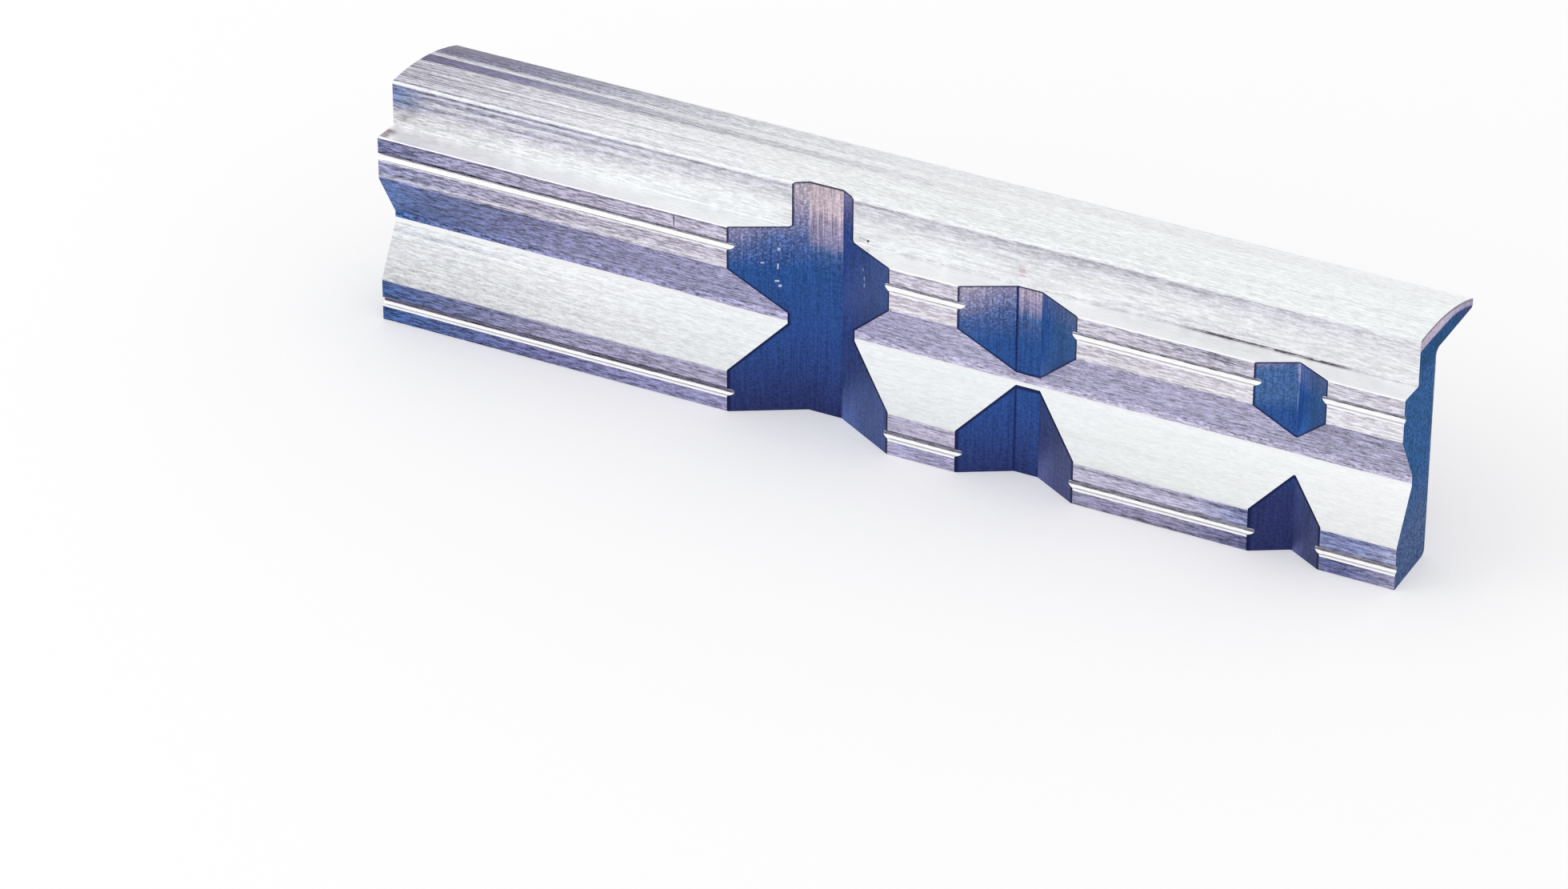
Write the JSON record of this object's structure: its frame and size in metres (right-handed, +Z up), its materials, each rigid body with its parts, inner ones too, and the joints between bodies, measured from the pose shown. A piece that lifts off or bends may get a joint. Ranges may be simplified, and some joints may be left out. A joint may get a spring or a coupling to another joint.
{
  "type": "vise jaw",
  "caption": "Hooked aluminium vise jaw with a level V, upright V notches for round work, and a magnet disc flush in its back.",
  "frame": {"origin": "under the middle of the whole jaw, at the height of the foot it stands on", "axes": "+X along the bar, from left to right seen from the gripping side; +Y from the gripping face to the back; +Z up"},
  "size_m": [0.15, 0.0222, 0.0351],
  "materials": {
    "bar": "extruded and brushed along its length, with milled notches and sawn ends",
    "magnet": "ground flush with the back face, with fine lines along the bar"
  },
  "bodies": {
    "root": {"jaw_bar": "bar", "magnet_disc": "magnet"}
  },
  "joints": []
}
